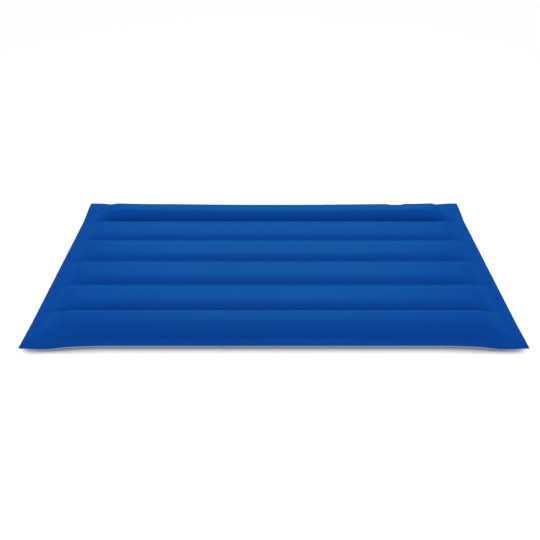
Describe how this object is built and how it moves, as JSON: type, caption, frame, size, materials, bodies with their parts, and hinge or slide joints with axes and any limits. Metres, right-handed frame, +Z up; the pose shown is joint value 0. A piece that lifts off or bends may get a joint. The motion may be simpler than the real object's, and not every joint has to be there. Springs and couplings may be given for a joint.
{
  "type": "inflatable air track mat",
  "caption": "Low welded inflatable floor mat with lengthwise air chambers, a flat welded edge and a capped spring air valve.",
  "frame": {"origin": "on the floor, under the centre of the mat's outline", "axes": "+X along the mat and its chambers, +Y across it towards the side with the air valve, +Z up"},
  "size_m": [2, 1.0038, 0.0934],
  "materials": {
    "blue_sheet": "satin PVC-coated fabric",
    "pale_sheet": "satin PVC-coated fabric",
    "web_fabric": "matte woven",
    "valve_plastic": "satin moulded",
    "plunger_plastic": "satin moulded",
    "rubber": "matte",
    "spring_steel": "satin"
  },
  "bodies": {
    "mat": {"top_sheet": "blue_sheet", "bottom_sheet": "pale_sheet", "web_1": "web_fabric", "web_2": "web_fabric", "web_3": "web_fabric", "web_4": "web_fabric", "web_5": "web_fabric", "valve_patch": "blue_sheet", "valve_body": "valve_plastic", "valve_gasket": "rubber", "valve_nut": "valve_plastic", "valve_spring": "spring_steel"},
    "tether": {"cap_tether": "valve_plastic"},
    "cap": {"valve_cap": "valve_plastic", "cap_o_ring": "rubber"},
    "seal_carrier": {"valve_seal": "rubber", "seal_retainer": "plunger_plastic"},
    "plunger": {"valve_stem": "plunger_plastic"}
  },
  "joints": [
    {"name": "tether_flip", "type": "hinge", "parent": "mat", "child": "tether", "pos_m": [0.64, 0.44686, 0.04609], "axis": [-1, 0, 0], "range_deg": [0, 140]},
    {"name": "cap_turn", "type": "hinge", "parent": "tether", "child": "cap", "pos_m": [0.64, 0.42722, 0.06348], "axis": [0, 0.7567, 0.6537], "range_deg": [0, 90]},
    {"name": "plunger_press", "type": "slide", "parent": "mat", "child": "seal_carrier", "axis": [0, -0.7567, -0.6537], "range_m": [0, 0.005], "deforming": ["valve_spring"]},
    {"name": "plunger_lock", "type": "hinge", "parent": "seal_carrier", "child": "plunger", "pos_m": [0.64, 0.42722, 0.06348], "axis": [0, 0.7567, 0.6537], "range_deg": [0, 90]}
  ]
}
